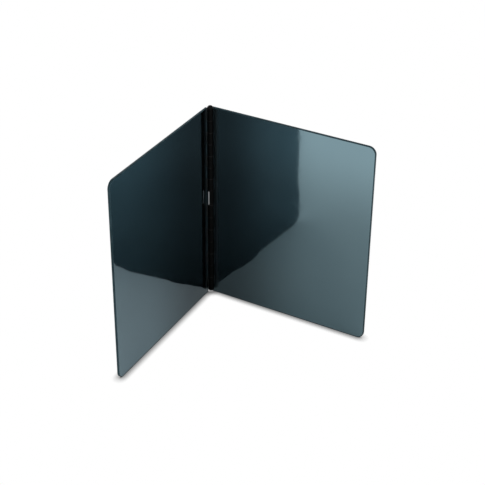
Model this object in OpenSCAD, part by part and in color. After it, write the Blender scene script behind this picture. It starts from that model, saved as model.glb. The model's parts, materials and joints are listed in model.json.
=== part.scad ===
// Two-leaf folding isolation shield: two thin sandwich panels on one
// full-height barrel hinge. It stands on the bottom edges of its panels.
// The hinge axis is vertical, and each leaf is drawn in its own frame:
// x runs from the hinge axis to the outer edge, y goes through the panel
// from front to back, and z is height.

/* [Stance] */
// Angle between the two inner faces as the shield stands
open_angle = 88; // [60:1:120]

/* [Panels] */
// Height of both leaves
panel_h = 305; // [240:5:400]
// Reach of a leaf from the hinge axis to its outer edge
leaf_reach = 250; // [180:5:320]
// Thickness of each of the two skins
skin_t = 0.7; // [0.5:0.1:1.5]
// Thickness of the damping core and of all that lies in its layer
core_t = 1.5; // [1.2:0.1:4]
// Adhesive film between bonded pieces
glue_t = 0.05; // [0.02:0.01:0.1]
// Radius of the two outer corners
corner_r = 11; // [4:1:30]
// Thickness of the band that wraps the free edges
band_t = 1.2; // [0.6:0.1:2]
// Width of the hard frame that keeps the core from being crushed
frame_w = 6; // [3:1:15]

/* [Hinge leaves] */
// Outer diameter of the hinge barrel
barrel_d = 9; // [8:0.5:14]
// Clear space between the barrel and the inner faces
barrel_clear = 0.3; // [0.2:0.1:1]
// Distance from the hinge axis plane to the inner edge of a leaf
edge_gap = 0.3; // [0.2:0.1:1]
// Width of the bar that closes a panel's inner edge
bar_w = 2.7; // [2:0.1:4]
// Width of the tongue that is bonded between the skins
tongue_w = 13; // [8:1:30]
// Knuckles on the left leaf; the right leaf has one more
left_knuckles = 7; // [3:2:11]
// Height of the barrel's lower end above the floor
barrel_lift = 5.5; // [3:0.5:12]

/* [Pin and bearings] */
// Diameter of the hinge pin
pin_d = 3; // [2:0.25:4]
// Radial running clearance between the pin and the left knuckles
run_clear = 0.05; // [0.02:0.01:0.1]
// Radial clearance of the pieces that are fixed on the pin
fix_clear = 0.01; // [0.005:0.005:0.02]
// Length of pin that each cap holds
pin_tail = 1.5; // [1:0.25:2]
// Thickness of the washers between knuckles
washer_t = 0.4; // [0.3:0.1:1]
// Endplay left between a washer and the next knuckle
endplay = 0.3; // [0.2:0.05:0.6]

/* [Caps] */
// Height of the domed top cap
dome_h = 4.2; // [3:0.1:8]
// Height of the bottom cap
foot_cap_h = 2.5; // [2.2:0.1:4]

/* [Friction clip] */
// Height of the clip that grips the pin
clip_h = 21; // [12:1:40]
// Height of the clip's lower end above the floor
clip_z = 154; // [90:1:180]
// Thickness of the clip's sleeve
clip_t = 0.8; // [0.5:0.1:1]
// Width of the clip's tail, which shows in the barrel's slot
tail_w = 1.6; // [1.2:0.1:3]
// How far the tail stands out of the barrel
tail_proud = 0.8; // [0.3:0.1:1.5]
// Turn of the tail from the plane of its panel, towards the panel
tail_turn = 8; // [0:1:20]
// Width of the split in the clip's sleeve
split_w = 0.8; // [0.5:0.1:1.2]
// Clearance between the clip and the knuckle that houses it
clip_clear = 0.1; // [0.05:0.05:0.2]
// Knuckle material left above and below the clip
clip_cover = 1.5; // [1:0.5:3]

/* [Hidden] */

$fn = 64;
eps = 0.01;

// Layers of a leaf, from its front face to its back face
barrel_r = barrel_d / 2;
face_y = barrel_r + barrel_clear;
core_y = face_y + skin_t + glue_t;
rear_skin_y = core_y + core_t + glue_t;
back_y = rear_skin_y + skin_t;
leaf_t = back_y - face_y;

// Stations along a leaf, from the hinge axis outwards
bar_end = edge_gap + bar_w;
tongue_end = bar_end + tongue_w;
skin_inset = band_t + glue_t;
core_inset = skin_inset + frame_w + glue_t;

// Stations up the barrel
knuckle_z0 = barrel_lift + foot_cap_h;
housing_h = clip_h + 2 * clip_cover;
lower_pitch = (clip_z - clip_cover - knuckle_z0) / left_knuckles;
upper_pitch = (panel_h - clip_z - clip_h - clip_cover) / left_knuckles;
knuckle_gap = washer_t + endplay;
last_knuckle = 2 * left_knuckles;

// Bores and turned radii
pin_r = pin_d / 2;
run_r = pin_r + run_clear;
fix_r = pin_r + fix_clear;
clip_r = run_r + clip_t;
housing_r = clip_r + clip_clear;
washer_r = barrel_r - 0.3;
cap_bevel = 0.5;

// The standing leaves, and the hinge axis behind the middle of the footprint
leaf_turn = 90 - open_angle / 2;
half_open = open_angle / 2;
front_reach = leaf_reach * cos(half_open) - face_y * sin(half_open);
rear_reach = back_y * sin(half_open) - edge_gap * cos(half_open);
axis_y = (front_reach - rear_reach) / 2;

// Colours
skin_colour = [0.12, 0.17, 0.20];
band_colour = [0.05, 0.07, 0.08];
core_colour = [0.25, 0.25, 0.27];
frame_colour = [0.40, 0.40, 0.42];
hinge_colour = [0.03, 0.03, 0.03];
steel_colour = [0.72, 0.73, 0.75];
washer_colour = [0.08, 0.08, 0.08];

// Height at which knuckle i begins; the middle one houses the clip
function knuckle_z(i) = i <= left_knuckles
  ? knuckle_z0 + i * lower_pitch
  : panel_h - (last_knuckle + 1 - i) * upper_pitch;
function knuckle_low(i) = knuckle_z(i) + (i == 0 ? 0 : knuckle_gap / 2);
function knuckle_high(i) = knuckle_z(i + 1) - (i == last_knuckle ? 0 : knuckle_gap / 2);
// A corner that lies inside the outline keeps the same centre
function corner_at(inset) = max(corner_r - inset, 0.5);

module on_hinge_axis() {
  translate([0, axis_y, 0]) children();
}

module right_leaf_frame() {
  on_hinge_axis() rotate([0, 0, -leaf_turn]) children();
}

module left_leaf_frame() {
  on_hinge_axis() mirror([1, 0, 0]) rotate([0, 0, -leaf_turn]) children();
}

// Outline of a leaf, inset from its free edges and begun at start_x
module leaf_outline(start_x, inset) {
  r = corner_at(inset);
  end_x = leaf_reach - inset;
  low_z = inset;
  high_z = panel_h - inset;
  translate([start_x, low_z]) square([end_x - r - start_x, high_z - low_z]);
  translate([start_x, low_z + r]) square([end_x - start_x, high_z - low_z - 2 * r]);
  for (z = [low_z + r, high_z - r]) translate([end_x - r, z]) circle(r);
}

// Stands an outline up in the leaf's plane, from depth y, thickness t
module layer(y, t) {
  translate([0, y + t, 0]) rotate([90, 0, 0]) linear_extrude(t) children();
}

module front_skin() {
  layer(face_y, skin_t) leaf_outline(bar_end + glue_t, skin_inset);
}

module back_skin() {
  layer(rear_skin_y, skin_t) leaf_outline(bar_end + glue_t, skin_inset);
}

module core() {
  layer(core_y, core_t) leaf_outline(tongue_end + glue_t, core_inset);
}

module core_frame() {
  layer(core_y, core_t) difference() {
    leaf_outline(tongue_end + glue_t, skin_inset);
    leaf_outline(0, core_inset - glue_t);
  }
}

module edge_band() {
  layer(face_y, leaf_t) difference() {
    leaf_outline(edge_gap, 0);
    leaf_outline(0, band_t);
  }
}

// Knuckle i with the web that joins it to the bar behind it
module knuckle(i) {
  low = knuckle_low(i);
  high = knuckle_high(i);
  web_high = min(high, panel_h - skin_inset);
  translate([0, 0, low]) cylinder(h = high - low, r = barrel_r);
  translate([edge_gap, 0, low]) cube([bar_w, face_y + eps, web_high - low]);
}

// Bar that closes the panel's inner edge, with the tongue between the skins
module bar_and_tongue() {
  height = panel_h - 2 * skin_inset;
  translate([edge_gap, face_y, skin_inset]) cube([bar_w, leaf_t, height]);
  translate([bar_end - eps, core_y, skin_inset]) cube([tongue_w + eps, core_t, height]);
}

// Hinge leaf whose knuckles are every second one from the first
module hinge_leaf(first, bore_r) {
  difference() {
    union() {
      bar_and_tongue();
      for (i = [first : 2 : last_knuckle]) knuckle(i);
    }
    translate([0, 0, knuckle_z0 - 1]) cylinder(h = panel_h, r = bore_r);
    children();
  }
}

// Room for the clip in the middle knuckle, with the slot for its tail
module clip_housing() {
  slot_w = tail_w + 2 * clip_clear;
  slot_h = clip_h + 2 * clip_clear;
  translate([0, 0, clip_z - clip_cover]) cylinder(h = housing_h, r = housing_r);
  rotate([0, 0, tail_turn]) translate([0, -slot_w / 2, clip_z - clip_clear])
    cube([barrel_d, slot_w, slot_h]);
}

module left_front_skin() {
  color(skin_colour) left_leaf_frame() front_skin();
}

module left_core() {
  color(core_colour) left_leaf_frame() core();
}

module left_core_frame() {
  color(frame_colour) left_leaf_frame() core_frame();
}

module left_back_skin() {
  color(skin_colour) left_leaf_frame() back_skin();
}

module left_edge_band() {
  color(band_colour) left_leaf_frame() edge_band();
}

module left_hinge_leaf() {
  color(hinge_colour) left_leaf_frame() hinge_leaf(1, run_r) clip_housing();
}

module right_front_skin() {
  color(skin_colour) right_leaf_frame() front_skin();
}

module right_core() {
  color(core_colour) right_leaf_frame() core();
}

module right_core_frame() {
  color(frame_colour) right_leaf_frame() core_frame();
}

module right_back_skin() {
  color(skin_colour) right_leaf_frame() back_skin();
}

module right_edge_band() {
  color(band_colour) right_leaf_frame() edge_band();
}

module right_hinge_leaf() {
  color(hinge_colour) right_leaf_frame() hinge_leaf(0, fix_r);
}

module hinge_pin() {
  color(steel_colour) on_hinge_axis() translate([0, 0, knuckle_z0 - pin_tail])
    cylinder(h = panel_h - knuckle_z0 + 2 * pin_tail, r = pin_r);
}

// A washer lies on the right knuckle at each joint of the barrel
module knuckle_washers() {
  color(washer_colour) on_hinge_axis() for (i = [0 : last_knuckle - 1]) {
    z = i % 2 == 0 ? knuckle_high(i) : knuckle_low(i + 1) - washer_t;
    translate([0, 0, z]) difference() {
      cylinder(h = washer_t, r = washer_r);
      translate([0, 0, -1]) cylinder(h = washer_t + 2, r = fix_r);
    }
  }
}

// Split sleeve round the pin, with a round-nosed tail in the barrel's slot
module friction_clip() {
  nose_r = tail_w / 2;
  nose_x = barrel_r + tail_proud - nose_r;
  color(steel_colour) left_leaf_frame() translate([0, 0, clip_z]) rotate([0, 0, tail_turn])
    linear_extrude(clip_h) difference() {
      union() {
        circle(clip_r);
        translate([0, -nose_r]) square([nose_x, tail_w]);
        translate([nose_x, 0]) circle(nose_r);
      }
      circle(run_r);
      translate([-2 * clip_r, -split_w / 2]) square([2 * clip_r, split_w]);
    }
}

// Dome on the barrel's upper end; its quarter ellipse is a formula
module top_cap() {
  steps = 24;
  dome = [for (i = [0 : steps]) [barrel_r * cos(90 * i / steps), dome_h * sin(90 * i / steps)]];
  color(hinge_colour) on_hinge_axis() translate([0, 0, panel_h]) difference() {
    rotate_extrude() polygon(concat([[0, 0]], dome));
    translate([0, 0, -1]) cylinder(h = pin_tail + fix_clear + 1, r = fix_r);
  }
}

module bottom_cap() {
  color(hinge_colour) on_hinge_axis() translate([0, 0, barrel_lift]) difference() {
    rotate_extrude() polygon([
      [0, 0], [barrel_r - cap_bevel, 0], [barrel_r, cap_bevel],
      [barrel_r, foot_cap_h], [0, foot_cap_h]
    ]);
    translate([0, 0, foot_cap_h - pin_tail - fix_clear]) cylinder(h = foot_cap_h, r = fix_r);
  }
}

left_front_skin();
left_core();
left_core_frame();
left_back_skin();
left_edge_band();
left_hinge_leaf();
right_front_skin();
right_core();
right_core_frame();
right_back_skin();
right_edge_band();
right_hinge_leaf();
hinge_pin();
knuckle_washers();
friction_clip();
top_cap();
bottom_cap();
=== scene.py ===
import json
import math

import bpy
from mathutils import Matrix, Vector


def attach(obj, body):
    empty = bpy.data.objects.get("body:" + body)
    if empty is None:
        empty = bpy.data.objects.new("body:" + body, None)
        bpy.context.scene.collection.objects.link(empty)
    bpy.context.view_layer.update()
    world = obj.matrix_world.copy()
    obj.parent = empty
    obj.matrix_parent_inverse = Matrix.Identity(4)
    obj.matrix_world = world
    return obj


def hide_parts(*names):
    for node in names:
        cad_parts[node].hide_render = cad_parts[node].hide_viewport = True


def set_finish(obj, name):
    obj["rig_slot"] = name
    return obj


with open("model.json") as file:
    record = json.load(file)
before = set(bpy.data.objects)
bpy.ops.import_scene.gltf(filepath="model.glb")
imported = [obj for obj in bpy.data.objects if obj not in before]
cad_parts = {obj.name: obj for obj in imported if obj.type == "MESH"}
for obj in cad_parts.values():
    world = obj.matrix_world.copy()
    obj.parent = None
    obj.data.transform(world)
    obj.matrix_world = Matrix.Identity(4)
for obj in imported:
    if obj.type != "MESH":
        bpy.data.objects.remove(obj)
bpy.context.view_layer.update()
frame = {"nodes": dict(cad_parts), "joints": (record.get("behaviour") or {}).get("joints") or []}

mm = 0.001
print("frame loaded:", len(frame["nodes"]), "nodes")


# Camera: looks down into the open mouth from its left side
view = {
    "aim": (0.0082, -0.0499, 0.1649),
    "distance": 1.7,
    "azimuth": 16.576,  # degrees from +Y, towards +X
    "elevation": 31.087,  # degrees downwards
    "roll": 0.527,
    "lens": 92.997,
    "sensor": 36,
    "farthest": 100,
}


def placeCamera():
    yaw, pitch, roll = (math.radians(view[name]) for name in ("azimuth", "elevation", "roll"))
    forward = Vector((math.sin(yaw) * math.cos(pitch), math.cos(yaw) * math.cos(pitch), -math.sin(pitch)))
    level = Vector((math.cos(yaw), -math.sin(yaw), 0))
    upright = level.cross(forward)
    right = level * math.cos(roll) + upright * math.sin(roll)
    up = upright * math.cos(roll) - level * math.sin(roll)
    data = bpy.data.cameras.new("camera")
    data.lens = view["lens"]
    data.sensor_width = view["sensor"]
    data.clip_end = view["farthest"]
    camera = bpy.data.objects.new("camera", data)
    place = Matrix((right, up, -forward)).transposed().to_4x4()
    place.translation = Vector(view["aim"]) - forward * view["distance"]
    camera.matrix_world = place
    bpy.context.scene.collection.objects.link(camera)
    bpy.context.scene.camera = camera


placeCamera()
print("camera placed")


# Leaves: each is modelled lying square, x along the leaf from the hinge axis,
# y from its front face to its back face, z up, and is then stood in its place
fold = frame["joints"][0]
hingeAxis = Vector((fold["pos_m"][0], fold["pos_m"][1], 0))
leafTurn = math.radians(90 + fold["range_deg"][0] / 2)  # the fold closes the whole opening
standRight = Matrix.Translation(hingeAxis) @ Matrix.Rotation(-leafTurn, 4, "Z")
leafPlace = {
    "right": standRight,
    "left": Matrix.Scale(-1, 4, (1, 0, 0)) @ standRight,
}
leafBody = {"right": "right_leaf", "left": "left_leaf"}


def leafBox(node, side):
    back = leafPlace[side].inverted()
    points = [back @ vertex.co for vertex in frame["nodes"][node].data.vertices]
    low = Vector([min(point[i] for point in points) for i in range(3)])
    high = Vector([max(point[i] for point in points) for i in range(3)])
    return low, high


sameSpot = 0.001 * mm  # vertices closer than this are one
smoothBelow = 35  # degrees: a sharper edge stays sharp


def inEditMode():
    bpy.ops.object.mode_set(mode="EDIT")


def inObjectMode():
    bpy.ops.object.mode_set(mode="OBJECT")


def startFresh():
    bpy.ops.object.select_all(action="DESELECT")


def pieceName(node):
    first, *others = node.split("_")
    return first + "".join(word.title() for word in others)


def newPlane(node, location, rotation, size):
    startFresh()
    bpy.ops.mesh.primitive_plane_add(size=1, location=location, rotation=rotation)
    piece = bpy.context.object
    piece.name = piece.data.name = pieceName(node)
    piece.scale = size
    bpy.ops.object.transform_apply(location=True, rotation=True, scale=True)
    return piece


def selectVertices(piece, wanted):
    inEditMode()
    bpy.ops.mesh.select_mode(type="VERT")
    bpy.ops.mesh.select_all(action="DESELECT")
    inObjectMode()
    for vertex in piece.data.vertices:
        vertex.select = wanted(vertex.co)
    inEditMode()


def finishModifier(piece, kind, **settings):
    startFresh()
    bpy.context.view_layer.objects.active = piece
    piece.select_set(True)
    modifier = piece.modifiers.new(kind.lower(), kind)
    for name, value in settings.items():
        setattr(modifier, name, value)
    bpy.ops.object.modifier_apply(modifier=modifier.name)


def outwardNormals(piece):
    startFresh()
    bpy.context.view_layer.objects.active = piece
    piece.select_set(True)
    inEditMode()
    bpy.ops.mesh.select_all(action="SELECT")
    bpy.ops.mesh.remove_doubles(threshold=sameSpot)
    bpy.ops.mesh.normals_make_consistent(inside=False)
    inObjectMode()


def smooth(piece):
    startFresh()
    bpy.context.view_layer.objects.active = piece
    piece.select_set(True)
    bpy.ops.object.shade_smooth_by_angle(angle=math.radians(smoothBelow))
    finishModifier(piece, "WEIGHTED_NORMAL", keep_sharp=True)


def standOnLeaf(piece, side):
    startFresh()
    bpy.context.view_layer.objects.active = piece
    piece.select_set(True)
    piece.matrix_world = leafPlace[side]
    bpy.ops.object.transform_apply(location=True, rotation=True, scale=True)
    outwardNormals(piece)


def handOver(piece, body, node, slot):
    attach(piece, body)
    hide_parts(node)
    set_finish(piece, slot)


# Skins: thin glossy sheets, drawn a little out of flat by the panel behind them.
# A swell is a line of points along the sheet (x, z) that is lifted by "lift"
# towards the front, or sunk where lift is negative, and fades out over "reach"
skins = {
    "grid": 3.2 * mm,
    "lineWidth": 0.75,  # in grid steps: how near a swell's line a vertex is taken with it
    "cornerSteps": 8,
    "rimRound": 0.12 * mm,
    "rimSteps": 2,
    "rimSharp": 50,  # degrees: the rim is the edges sharper than this
    "swells": {
        "right_front_skin": [
            {"line": [(20, 62), (60, 115), (105, 175)], "lift": -0.34, "reach": 58},
            {"line": [(105, 215), (105, 290)], "lift": -0.20, "reach": 50},
            {"line": [(62, 14), (110, 70), (172, 140)], "lift": 0.36, "reach": 62},
            {"line": [(172, 190), (172, 290)], "lift": 0.18, "reach": 50},
            {"line": [(44, 72), (58, 84)], "lift": -0.30, "reach": 26},
            {"line": [(68, 34), (84, 46)], "lift": 0.28, "reach": 26},
        ],
        "left_front_skin": [
            {"line": [(34, 58), (105, 112), (215, 190)], "lift": -0.30, "reach": 38},
            {"line": [(50, 20), (112, 56), (222, 132)], "lift": 0.30, "reach": 38},
            {"line": [(78, 92), (96, 104)], "lift": -0.20, "reach": 24},
            {"line": [(88, 50), (108, 62)], "lift": 0.20, "reach": 24},
            {"line": [(60, 250), (190, 250)], "lift": 0.14, "reach": 50},
        ],
        "right_back_skin": [
            {"line": [(70, 60), (180, 90)], "lift": -0.14, "reach": 60},
            {"line": [(90, 220), (190, 200)], "lift": 0.12, "reach": 70},
        ],
        "left_back_skin": [
            {"line": [(60, 120), (150, 160)], "lift": 0.14, "reach": 65},
            {"line": [(170, 60), (210, 230)], "lift": -0.12, "reach": 50},
        ],
    },
}


def nearLine(point, line, within):
    for start, end in zip(line, line[1:]):
        a, b = Vector(start) * mm, Vector(end) * mm
        along = max(0, min(1, (point - a).dot(b - a) / (b - a).length_squared))
        if (point - a.lerp(b, along)).length < within:
            return True
    return False


def buildSkin(side, face):
    node = f"{side}_{face}_skin"
    low, high = leafBox(node, side)
    bandHigh = leafBox(f"{side}_edge_band", side)[1]
    cornerRadius = band["cornerRadius"] - (bandHigh.x - high.x)
    front = low.y if face == "front" else high.y
    back = high.y if face == "front" else low.y
    centre = (low + high) / 2
    sheet = newPlane(node, (centre.x, front, centre.z), (math.pi / 2, 0, 0),
                     (high.x - low.x, high.z - low.z, 1))
    selectVertices(sheet, lambda co: co.x > centre.x)
    bpy.ops.mesh.bevel(affect="VERTICES", offset=cornerRadius, segments=skins["cornerSteps"])
    for axis, direction in ((0, Vector((1, 0, 0))), (2, Vector((0, 0, 1)))):
        count = round((high[axis] - low[axis]) / skins["grid"])
        for i in range(1, count):
            bpy.ops.mesh.select_all(action="SELECT")
            cut = centre.copy()
            cut[axis] = low[axis] + (high[axis] - low[axis]) * i / count
            bpy.ops.mesh.bisect(plane_co=cut, plane_no=direction)
    inObjectMode()
    outward = -1 if face == "front" else 1
    taken = skins["grid"] * skins["lineWidth"]
    for swell in skins["swells"][node]:
        selectVertices(sheet, lambda co: nearLine(co.xz, swell["line"], taken))
        bpy.ops.transform.translate(
            value=(0, outward * swell["lift"] * mm, 0), use_proportional_edit=True,
            proportional_edit_falloff="SMOOTH", proportional_size=swell["reach"] * mm)
        inObjectMode()
    inEditMode()
    bpy.ops.mesh.select_all(action="SELECT")
    bpy.ops.mesh.extrude_region_move(TRANSFORM_OT_translate={"value": (0, back - front, 0)})
    bpy.ops.transform.resize(value=(1, 0, 1), center_override=(0, back, 0))
    inObjectMode()
    outwardNormals(sheet)
    finishModifier(sheet, "BEVEL", width=skins["rimRound"], segments=skins["rimSteps"],
                   limit_method="ANGLE", angle_limit=math.radians(skins["rimSharp"]))
    standOnLeaf(sheet, side)
    smooth(sheet)
    handOver(sheet, leafBody[side], node, "dark_mirror")
    return sheet


# Edge bands: a strip with rounded outer arrises, run round the three free edges
band = {
    "glue": 0.05 * mm,  # between the skins' edges and the band
    "cornerRadius": 11 * mm,
    "cornerSteps": 14,
    "arris": 0.45 * mm,
    "arrisSteps": 4,
}


def buildBand(side):
    node = f"{side}_edge_band"
    low, high = leafBox(node, side)
    skinHigh = leafBox(f"{side}_front_skin", side)[1]
    thickness = high.x - skinHigh.x - band["glue"]
    radius = band["cornerRadius"]
    strip = newPlane(node, (low.x, (low.y + high.y) / 2, low.z + thickness / 2),
                     (0, math.pi / 2, 0), (thickness, high.y - low.y, 1))
    selectVertices(strip, lambda co: co.z < low.z + thickness / 2)
    bpy.ops.mesh.bevel(affect="VERTICES", offset=band["arris"], segments=band["arrisSteps"])
    bpy.ops.mesh.select_mode(type="FACE")
    bpy.ops.mesh.select_all(action="SELECT")
    run = high.x - radius - low.x
    rise = high.z - low.z - 2 * radius
    bpy.ops.mesh.extrude_region_move(TRANSFORM_OT_translate={"value": (run, 0, 0)})
    bpy.ops.mesh.spin(steps=band["cornerSteps"], angle=math.pi / 2, axis=(0, 1, 0),
                      center=(high.x - radius, 0, low.z + radius))
    bpy.ops.mesh.extrude_region_move(TRANSFORM_OT_translate={"value": (0, 0, rise)})
    bpy.ops.mesh.spin(steps=band["cornerSteps"], angle=math.pi / 2, axis=(0, 1, 0),
                      center=(high.x - radius, 0, high.z - radius))
    bpy.ops.mesh.extrude_region_move(TRANSFORM_OT_translate={"value": (-run, 0, 0)})
    inObjectMode()
    standOnLeaf(strip, side)
    smooth(strip)
    handOver(strip, leafBody[side], node, "edge_band")
    return strip


# Turned and milled pieces: the CAD shape with its arrises broken
arris = {
    "steps": 2,
    "sharp": 40,  # degrees: edges sharper than this are broken
    "flat": 0.5,  # degrees: faces that meet flatter than this are joined first
}
brokenArrises = {
    "left_hinge_leaf": {"body": "left_leaf", "slot": "black_anodised", "width": 0.2 * mm},
    "right_hinge_leaf": {"body": "right_leaf", "slot": "black_anodised", "width": 0.2 * mm},
    "friction_clip": {"body": "left_leaf", "slot": "clip_steel", "width": 0.12 * mm},
    "bottom_cap": {"body": "right_leaf", "slot": "cap", "width": 0.15 * mm},
    "top_cap": {"body": "right_leaf", "slot": "cap", "width": 0.1 * mm},
    "hinge_pin": {"body": "right_leaf", "slot": "steel", "width": 0.2 * mm},
    "knuckle_washers": {"body": "right_leaf", "slot": "washer", "width": 0.08 * mm},
}


def breakArrises(node, facts):
    startFresh()
    source = frame["nodes"][node]
    piece = source.copy()
    piece.data = source.data.copy()
    piece.name = piece.data.name = pieceName(node)
    piece.parent = None
    for key in list(piece.keys()):
        del piece[key]
    bpy.context.scene.collection.objects.link(piece)
    bpy.context.view_layer.objects.active = piece
    piece.select_set(True)
    bpy.ops.mesh.customdata_custom_splitnormals_clear()
    outwardNormals(piece)
    inEditMode()
    bpy.ops.mesh.select_all(action="SELECT")
    bpy.ops.mesh.dissolve_limited(angle_limit=math.radians(arris["flat"]))
    inObjectMode()
    finishModifier(piece, "BEVEL", width=facts["width"], segments=arris["steps"],
                   limit_method="ANGLE", angle_limit=math.radians(arris["sharp"]),
                   use_clamp_overlap=True)
    outwardNormals(piece)
    smooth(piece)
    handOver(piece, facts["body"], node, facts["slot"])
    return piece


pieces = {}
for side in ("left", "right"):
    for face in ("front", "back"):
        pieces[f"{side}_{face}_skin"] = buildSkin(side, face)
    pieces[f"{side}_edge_band"] = buildBand(side)
print("panels modelled")
for node, facts in brokenArrises.items():
    pieces[node] = breakArrises(node, facts)
for node in ("left_core", "right_core", "left_core_frame", "right_core_frame"):
    pieces[node] = frame["nodes"][node]
print("hinge modelled")


# Shader maths: a wire is one socket, and an expression on wires adds its Math nodes
class Wire:
    def __init__(self, tree, socket):
        self.tree = tree
        self.socket = socket

    def node(self, kind, settings, values, output=0):
        made = self.tree.nodes.new("ShaderNode" + kind)
        for name, value in settings.items():
            setattr(made, name, value)
        for name, value in values.items():
            if isinstance(value, Wire):
                self.tree.links.new(value.socket, made.inputs[name])
            else:
                made.inputs[name].default_value = value
        return Wire(self.tree, made.outputs[output]) if output is not None else made

    def maths(self, operation, first, second):
        return self.node("Math", {"operation": operation}, {0: first, 1: second})

    def __add__(self, other):
        return self.maths("ADD", self, other)

    def __radd__(self, other):
        return self.maths("ADD", other, self)

    def __sub__(self, other):
        return self.maths("SUBTRACT", self, other)

    def __rsub__(self, other):
        return self.maths("SUBTRACT", other, self)

    def __mul__(self, other):
        return self.maths("MULTIPLY", self, other)

    def __rmul__(self, other):
        return self.maths("MULTIPLY", other, self)

    def __pow__(self, other):
        return self.maths("POWER", self, other)

    def __rpow__(self, other):
        return self.maths("POWER", other, self)

    def between(self, low, high, first=0.0, last=1.0):  # smooth step from first to last
        return self.node("MapRange", {"interpolation_type": "SMOOTHSTEP"},
                         {0: self, 1: low, 2: high, 3: first, 4: last})

    def blend(self, first, second):  # two colours, mixed by this wire
        return self.node("Mix", {"data_type": "RGBA"}, {0: self, 6: first, 7: second}, 2)

    def stretched(self, scale):
        return self.node("Mapping", {}, {0: self, 3: scale})

    def noise(self, scale, detail=3.0, roughness=0.5):
        return self.node("TexNoise", {}, {0: self, 2: scale, 3: detail, 4: roughness})

    def pattern(self, facts):  # noise, cut to go from none to full between two levels
        return self.noise(*facts["noise"]).between(*facts["levels"])

    def axes(self):
        split = self.node("SeparateXYZ", {}, {0: self})
        return [Wire(self.tree, socket) for socket in split.socket.node.outputs]

    def bump(self, distance):
        return self.node("Bump", {}, {"Height": self, "Distance": distance, "Strength": 1.0})


def colour(red, green, blue):
    return (red, green, blue, 1)


def hingeDistance(place):
    x, y = place.axes()[:2]
    return ((x - hingeAxis.x) ** 2 + (y - hingeAxis.y) ** 2) ** 0.5


def newFinish(name, settings, build):
    material = bpy.data.materials.new(name)
    material.use_nodes = True
    tree = material.node_tree
    shader = tree.nodes["Principled BSDF"]
    for socket, value in settings.items():
        shader.inputs[socket].default_value = value
    place = Wire(tree, tree.nodes.new("ShaderNodeTexCoord").outputs["Object"])
    for socket, wire in build(place).items():
        tree.links.new(wire.socket, shader.inputs[socket])
    return material


# Mirror: a dark tinted metal face, slightly clouded, smudged and dusty. On the inside faces the tint
# carries painted shade: it is darker towards the hinge, and the right leaf is painted darker than the left
mirror = {
    "shader": {"Metallic": 1.0},
    # painted shade: the inside tint is darker close to the hinge, and darker on the right leaf than on the
    # left
    "leftNear": colour(0.063, 0.092, 0.106),  # close to the hinge, inside
    "leftFar": colour(0.124, 0.186, 0.214),
    "rightNear": colour(0.046, 0.065, 0.073),
    "rightFar": colour(0.106, 0.160, 0.180),
    "middle": (-1 * mm, 1 * mm),  # where left turns into right
    "fades": (0.020, 0.175),  # metres from the hinge axis, over which the painted shade fades out
    "outside": colour(0.106, 0.157, 0.178),
    "deep": colour(0.060, 0.098, 0.118),
    "cloud": {"noise": (7, 2), "levels": (0.35, 0.65), "share": 0.14},
    "rough": 0.055,
    "smudge": {"noise": (38, 4, 0.62), "levels": (0.5, 0.74), "adds": 0.05},
    "dust": {"noise": (900, 1), "levels": (0.74, 0.8), "adds": 0.2},
    "haze": 0.30,  # satin beside the fold, where it is handled
    "hazeFades": (0.007, 0.016),
    "ripple": {"noise": (60, 2), "depth": 0.004 * mm},
}


# Painted shade: the inside tint darkens towards the hinge and is darker on the right leaf than on the left
def tintWithPaintedShade(place):
    side = place.axes()[0].between(*mirror["middle"])
    near = side.blend(mirror["leftNear"], mirror["rightNear"])
    far = side.blend(mirror["leftFar"], mirror["rightFar"])
    return hingeDistance(place).between(*mirror["fades"]).blend(near, far)


def darkMirror(place, tint):
    cloud = place.pattern(mirror["cloud"]) * mirror["cloud"]["share"]
    smudge = place.pattern(mirror["smudge"]) * mirror["smudge"]["adds"]
    dust = place.pattern(mirror["dust"]) * mirror["dust"]["adds"]
    haze = hingeDistance(place).between(*mirror["hazeFades"], mirror["haze"], 0.0)
    return {
        "Base Color": cloud.blend(tint, mirror["deep"]),
        "Roughness": mirror["rough"] + smudge + dust + haze,
        "Normal": place.noise(*mirror["ripple"]["noise"]).bump(mirror["ripple"]["depth"]),
    }


def mirrorWithPaintedShade(place):
    return darkMirror(place, tintWithPaintedShade(place))


def mirrorOutside(place):
    return darkMirror(place, mirror["outside"])


# Band: dark teal plastic with drag marks and scuffs
gloss = {
    "shader": {"IOR": 1.25, "Specular IOR Level": 0.13, "Specular Tint": colour(0.55, 0.85, 1.0)},
    "dark": colour(0.009, 0.019, 0.023),
    "light": colour(0.018, 0.034, 0.041),
    "drag": {"stretch": (40, 40, 6), "noise": (4, 4), "levels": (0.35, 0.7)},
    "rough": 0.13,
    "scuff": {"noise": (240, 3, 0.6), "levels": (0.55, 0.75), "adds": 0.18},
    "ripple": {"noise": (500, 2), "depth": 0.01 * mm},
}


def glossBand(place):
    drag = place.stretched(gloss["drag"]["stretch"]).pattern(gloss["drag"])
    scuff = place.pattern(gloss["scuff"]) * gloss["scuff"]["adds"]
    return {
        "Base Color": drag.blend(gloss["dark"], gloss["light"]),
        "Roughness": gloss["rough"] + scuff,
        "Normal": place.noise(*gloss["ripple"]["noise"]).bump(gloss["ripple"]["depth"]),
    }


# Hinge leaves: matte black knuckles, and a satin metal bar against the mirror's edge
anodised = {
    "shader": {"Specular IOR Level": 0.06, "IOR": 1.3},
    "barrel": colour(0.0008, 0.0009, 0.001),
    "bar": colour(0.050, 0.075, 0.086),
    "barFrom": (4.7 * mm, 5.0 * mm),  # from the hinge axis
    "barMetal": 0.95,
    "barPolish": 0.1,  # how much smoother the bar is
    "brushed": {"stretch": (1600, 1600, 30), "noise": (1, 3), "adds": 0.1, "depth": 0.004 * mm},
    "rough": 0.40,
}


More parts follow.
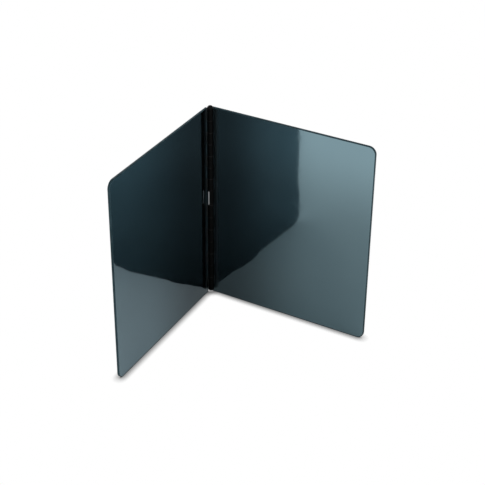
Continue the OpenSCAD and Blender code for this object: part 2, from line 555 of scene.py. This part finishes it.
def blackAnodised(place):
    bar = hingeDistance(place).between(*anodised["barFrom"])
    lines = anodised["brushed"]
    brushed = place.stretched(lines["stretch"]).noise(*lines["noise"])
    return {
        "Base Color": bar.blend(anodised["barrel"], anodised["bar"]),
        "Metallic": bar * anodised["barMetal"],
        "Roughness": anodised["rough"] - bar * anodised["barPolish"] + brushed * lines["adds"],
        "Normal": brushed.bump(lines["depth"]),
    }


# Caps: black moulded plastic, faintly mottled
capMoulding = {
    "shader": {"Specular IOR Level": 0.1, "IOR": 1.3},
    "mottle": (700, 3),
    "dark": colour(0.001, 0.0012, 0.0014),
    "light": colour(0.003, 0.0034, 0.0038),
    "rough": 0.3,
    "adds": 0.16,
    "ripple": {"noise": (2600, 2), "depth": 0.006 * mm},
}


def capPlastic(place):
    mottle = place.noise(*capMoulding["mottle"])
    return {
        "Base Color": mottle.blend(capMoulding["dark"], capMoulding["light"]),
        "Roughness": capMoulding["rough"] + mottle * capMoulding["adds"],
        "Normal": place.noise(*capMoulding["ripple"]["noise"]).bump(capMoulding["ripple"]["depth"]),
    }


# One grain sets the tone, the roughness and the relief of each finish below.
# "rough" is the least roughness, and "adds" is what the full grain adds to it
def grained(grain, tone, facts):
    return {
        "Base Color": tone.blend(facts["dark"], facts["light"]),
        "Roughness": facts["rough"] + grain * facts["adds"],
        "Normal": grain.bump(facts["depth"]),
    }


clipSteel = {
    "shader": {"Metallic": 1.0},
    "stretch": (3000, 3000, 60),
    "grain": (1, 4),
    "dark": colour(0.30, 0.31, 0.32),
    "light": colour(0.40, 0.41, 0.42),
    "rough": 0.24,
    "adds": 0.16,
    "depth": 0.003 * mm,
}


def brushedSteel(place):
    grain = place.stretched(clipSteel["stretch"]).noise(*clipSteel["grain"])
    return grained(grain, grain, clipSteel)


pinSteel = {
    "shader": {"Metallic": 1.0},
    "stretch": (200, 200, 4000),
    "rings": (1, 3),
    "dark": colour(0.46, 0.46, 0.47),
    "light": colour(0.6, 0.6, 0.61),
    "rough": 0.18,
    "adds": 0.14,
    "depth": 0.002 * mm,
}


def groundSteel(place):
    rings = place.stretched(pinSteel["stretch"]).noise(*pinSteel["rings"])
    return grained(rings, rings, pinSteel)


washerNylon = {
    "shader": {"Specular IOR Level": 0.3},
    "mottle": (1500, 3),
    "dark": colour(0.008, 0.008, 0.009),
    "light": colour(0.016, 0.016, 0.017),
    "rough": 0.5,
    "adds": 0.12,
    "depth": 0.01 * mm,
}


def graphiteNylon(place):
    mottle = place.noise(*washerNylon["mottle"])
    return grained(mottle, mottle, washerNylon)


damping = {
    "shader": {"Specular IOR Level": 0.3},
    "crumb": (1100, 4, 0.65),
    "levels": (0.4, 0.7),
    "dark": colour(0.010, 0.010, 0.011),
    "light": colour(0.045, 0.043, 0.042),
    "rough": 0.78,
    "adds": 0.15,
    "depth": 0.05 * mm,
}


def dampingSheet(place):
    crumb = place.noise(*damping["crumb"])
    return grained(crumb, crumb.between(*damping["levels"]), damping)


lipping = {
    "shader": {"Specular IOR Level": 0.3},
    "stretch": (500, 500, 90),
    "fibre": (1, 5, 0.6),
    "levels": (0.3, 0.7),
    "dark": colour(0.020, 0.016, 0.012),
    "light": colour(0.060, 0.048, 0.036),
    "rough": 0.6,
    "adds": 0.2,
    "depth": 0.03 * mm,
}


def lippingFibre(place):
    fibre = place.stretched(lipping["stretch"]).noise(*lipping["fibre"])
    return grained(fibre, fibre.between(*lipping["levels"]), lipping)


finishes = {
    "dark_mirror": newFinish("mirrorWithPaintedShade", mirror["shader"], mirrorWithPaintedShade),
    "dark_mirror_outside": newFinish("mirrorOutside", mirror["shader"], mirrorOutside),
    "edge_band": newFinish("glossBand", gloss["shader"], glossBand),
    "black_anodised": newFinish("blackAnodised", anodised["shader"], blackAnodised),
    "cap": newFinish("capPlastic", capMoulding["shader"], capPlastic),
    "clip_steel": newFinish("brushedSteel", clipSteel["shader"], brushedSteel),
    "steel": newFinish("groundSteel", pinSteel["shader"], groundSteel),
    "washer": newFinish("graphiteNylon", washerNylon["shader"], graphiteNylon),
    "damping_sheet": newFinish("dampingSheet", damping["shader"], dampingSheet),
    "lipping": newFinish("lippingFibre", lipping["shader"], lippingFibre),
}
carriedSlots = {"core": "damping_sheet", "frame": "lipping"}
for node, piece in pieces.items():
    slot = piece["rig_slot"] if "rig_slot" in piece else carriedSlots[node.split("_")[-1]]
    # the back skins take the even outside tint, without painted shade
    finish = slot + "_outside" if "back_skin" in node else slot
    piece.data.materials.clear()
    piece.data.materials.append(finishes[finish])
print("finishes made:", len(finishes))


# Stage: an even white dome, and a pale floor. To the camera the floor is a glowing white with a painted
# contact shadow where something meets it; in reflections it is lit by the dome, with a painted glow
# further out
stage = {
    "domeLight": 1.45,
    "domeSeen": 1.0,
    "floorWidth": 12,
    "floorBounce": 0.85,
    "floorSeen": 1.0,
    "contactReach": 11 * mm,
    "glow": 0.75,  # painted glow: the floor emits more light further out
    "glowFades": (0.28, 0.55),
    "horizonFades": (1.4, 4.5),  # and as much as in the dome at the horizon
    "contactDepth": 2.0,
}


def layStage():
    scene = bpy.context.scene
    scene.view_settings.view_transform = "Standard"
    world = bpy.data.worlds.new("dome")
    world.use_nodes = True
    scene.world = world
    background = world.node_tree.nodes["Background"]
    background.inputs["Color"].default_value = colour(1, 1, 1)
    rays = Wire(world.node_tree, world.node_tree.nodes.new("ShaderNodeLightPath").outputs["Is Camera Ray"])
    strength = stage["domeLight"] + rays * (stage["domeSeen"] - stage["domeLight"])
    world.node_tree.links.new(strength.socket, background.inputs["Strength"])
    startFresh()
    bpy.ops.mesh.primitive_plane_add(size=stage["floorWidth"], location=(0, 0, 0))
    floor = bpy.context.object
    floor.name = floor.data.name = "floor"
    paper = bpy.data.materials.new("paper")
    paper.use_nodes = True
    tree = paper.node_tree
    tree.nodes.clear()
    rays = Wire(tree, tree.nodes.new("ShaderNodeLightPath").outputs["Is Camera Ray"])
    place = Wire(tree, tree.nodes.new("ShaderNodeTexCoord").outputs["Object"])
    far = hingeDistance(place)
    atHorizon = stage["domeLight"] * (1 - stage["floorBounce"])
    # painted glow: the floor emits extra light that grows with distance from the hinge
    lit = far.between(*stage["glowFades"], 0.0, stage["glow"])
    lit = lit - far.between(*stage["horizonFades"], 0.0, stage["glow"] - atHorizon)
    matte = rays.node("BsdfDiffuse", {}, {"Color": colour(*[stage["floorBounce"]] * 3)})
    bounce = rays.node("AddShader", {}, {0: matte, 1: rays.node("Emission", {}, {"Strength": lit})})
    # painted contact shadow: to the camera the floor is an emitter, darkened by an occlusion node where
    # something meets it
    openness = rays.node("AmbientOcclusion", {}, {"Distance": stage["contactReach"]}, "AO")
    seen = rays.node("Emission", {}, {"Strength": openness ** stage["contactDepth"] * stage["floorSeen"]})
    mixed = rays.node("MixShader", {}, {0: rays, 1: bounce, 2: seen})
    rays.node("OutputMaterial", {}, {"Surface": mixed}, None)
    floor.data.materials.append(paper)


layStage()
print("stage laid")
